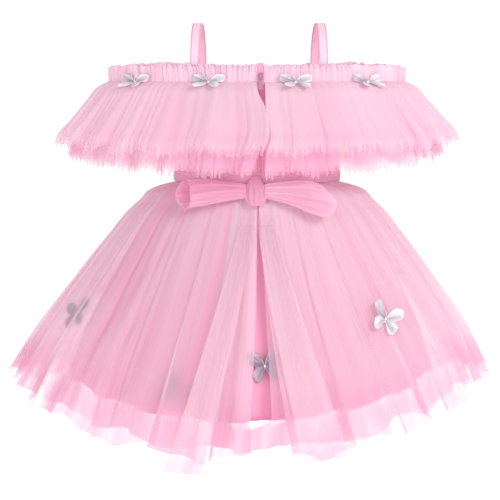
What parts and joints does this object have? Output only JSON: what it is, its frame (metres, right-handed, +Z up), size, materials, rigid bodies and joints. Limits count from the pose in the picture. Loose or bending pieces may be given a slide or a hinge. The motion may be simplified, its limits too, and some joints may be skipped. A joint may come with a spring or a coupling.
{
  "type": "toddler party dress",
  "caption": "Filled-out off-the-shoulder toddler dress in gathered net: ruffled neck casing, bodice, tied sash bow and full parted skirt, with straps and butterflies.",
  "frame": {"origin": "midway between the two shoulder straps, at the height of their undersides, where the wearer's shoulders hold the dress up", "axes": "+Z up; the back of the dress faces -Y and the front +Y; +X is the wearer's right"},
  "size_m": [0.5487, 0.4203, 0.4719],
  "materials": {
    "net": "fine pink nylon net, matt and see-through, gathered",
    "net_pale": "pink nylon net in several loose layers, matt, paler where it is fluffed out",
    "satin": "pink polyester satin with a soft sheen",
    "elastic": "soft pink ribbed elastic with a looped edge",
    "zip_tape": "pink woven zip tape",
    "zip_metal": "small pink-painted metal slider and pull tab",
    "wing": "white satin organza with a silvery sheen"
  },
  "bodies": {
    "dress": {"neck_casing_back_right": "net_pale", "neck_casing_front": "net_pale", "neck_casing_back_left": "net_pale", "ruffle_upper": "net_pale", "ruffle_lower": "net_pale", "bodice_back_right": "satin", "bodice_front": "satin", "bodice_back_left": "satin", "skirt_net_outer": "net", "skirt_net_inner": "net", "skirt_under": "satin", "sash_belt": "net", "bow_knot": "net_pale", "bow_loop_left": "net_pale", "bow_loop_right": "net_pale", "bow_tail_left": "net_pale", "bow_tail_right": "net_pale", "strap_left": "elastic", "strap_right": "elastic", "zip_tape_left": "zip_tape", "zip_tape_right": "zip_tape", "zip_slider": "zip_metal", "butterfly_neck_back_1": "wing", "butterfly_neck_back_2": "wing", "butterfly_neck_back_3": "wing", "butterfly_neck_back_4": "wing", "butterfly_neck_front_1": "wing", "butterfly_neck_front_2": "wing", "butterfly_neck_front_3": "wing", "butterfly_neck_front_4": "wing", "butterfly_skirt_back_1": "wing", "butterfly_skirt_back_2": "wing", "butterfly_skirt_back_3": "wing", "butterfly_skirt_back_4": "wing", "butterfly_skirt_front_1": "wing", "butterfly_skirt_front_2": "wing", "butterfly_skirt_front_3": "wing", "butterfly_skirt_front_4": "wing"},
    "pull_tab": {"zip_pull_tab": "zip_metal"}
  },
  "joints": [
    {"name": "pull_tab_flip", "type": "hinge", "parent": "dress", "child": "pull_tab", "pos_m": [0.0035, -0.0825, -0.0621], "axis": [-1, 0, 0], "range_deg": [0, 130]}
  ]
}
